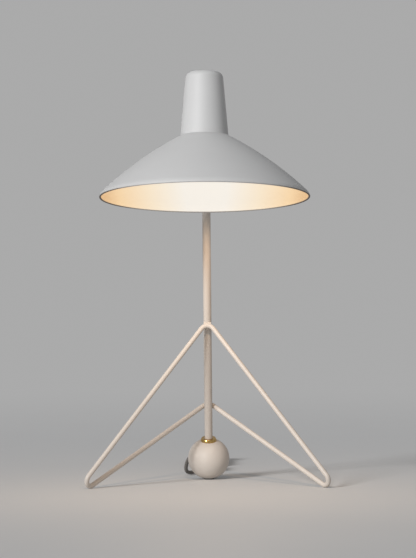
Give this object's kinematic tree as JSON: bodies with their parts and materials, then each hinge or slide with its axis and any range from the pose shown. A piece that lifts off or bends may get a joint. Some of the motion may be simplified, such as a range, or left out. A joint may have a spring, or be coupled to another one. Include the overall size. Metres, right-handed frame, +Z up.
{
  "type": "table lamp",
  "caption": "Table lamp with a spun metal shade on a leaning stem, a bent wire loop as two front feet and a heavy ball as the rear foot.",
  "frame": {"origin": "the middle of the pad under the ball, on the surface that the lamp stands on", "axes": "+Z up, +X to the lamp's right seen from the front, -Y the way that the shade and the two wire feet face"},
  "size_m": [0.2966, 0.6845, 0.4949],
  "materials": {
    "body_paint": "satin warm grey-beige powder coat",
    "shade_paint": "aluminium sheet in a satin warm grey-beige coat, off-white inside",
    "brass": "turned brass, lightly lacquered",
    "steel": "zinc-plated steel",
    "dark_plastic": "moulded dark plastic",
    "light_plastic": "heat-proof off-white moulding",
    "fibre": "fibre or soft rubber",
    "opal_glass": "opal glass",
    "textile_lead": "lead with a woven dark cover",
    "tie_fabric": "hook-and-loop strap"
  },
  "bodies": {
    "head": {"shade_brim": "shade_paint", "shade_neck": "shade_paint", "saddle_washers": "brass", "pivot_fork": "brass", "fork_nut": "brass", "friction_washers": "fibre", "pivot_screw": "brass", "holder_bracket": "steel", "holder_nipple": "steel", "holder_cap": "light_plastic", "holder_body": "light_plastic", "holder_shell": "brass", "holder_contact": "brass", "bulb_cap": "steel", "bulb_tip": "steel", "bulb_globe": "opal_glass", "neck_lead": "textile_lead"},
    "knob": {"pivot_knob": "brass"},
    "stand": {"stem_eye": "brass", "stem_tube": "body_paint", "leg_loop": "body_paint", "braze_joints": "body_paint", "ball_foot": "body_paint", "grub_screw": "steel", "ball_pad": "fibre", "ball_collar": "brass", "cord_gland": "dark_plastic", "inner_lead": "textile_lead", "cord_lead": "textile_lead", "cord_middle": "textile_lead", "cord_end": "textile_lead", "cord_hank": "textile_lead", "cord_tie": "tie_fabric", "switch_screws": "steel", "switch_base": "dark_plastic", "switch_top": "dark_plastic", "plug_body": "dark_plastic", "plug_pins": "brass", "plug_relief": "dark_plastic"},
    "rocker": {"switch_rocker": "dark_plastic"}
  },
  "joints": [
    {"name": "head_tilt", "type": "hinge", "parent": "stand", "child": "head", "pos_m": [0, -0.18624, 0.47108], "axis": [-1, 0, 0], "range_deg": [-5, 40]},
    {"name": "knob_turn", "type": "hinge", "parent": "head", "child": "knob", "pos_m": [0, -0.18624, 0.47108], "axis": [1, 0, 0], "range_deg": [0, 270]},
    {"name": "switch_rock", "type": "hinge", "parent": "stand", "child": "rocker", "pos_m": [-0.004, 0.134, 0.0125], "axis": [1, 0, 0], "range_deg": [0, 14]}
  ]
}
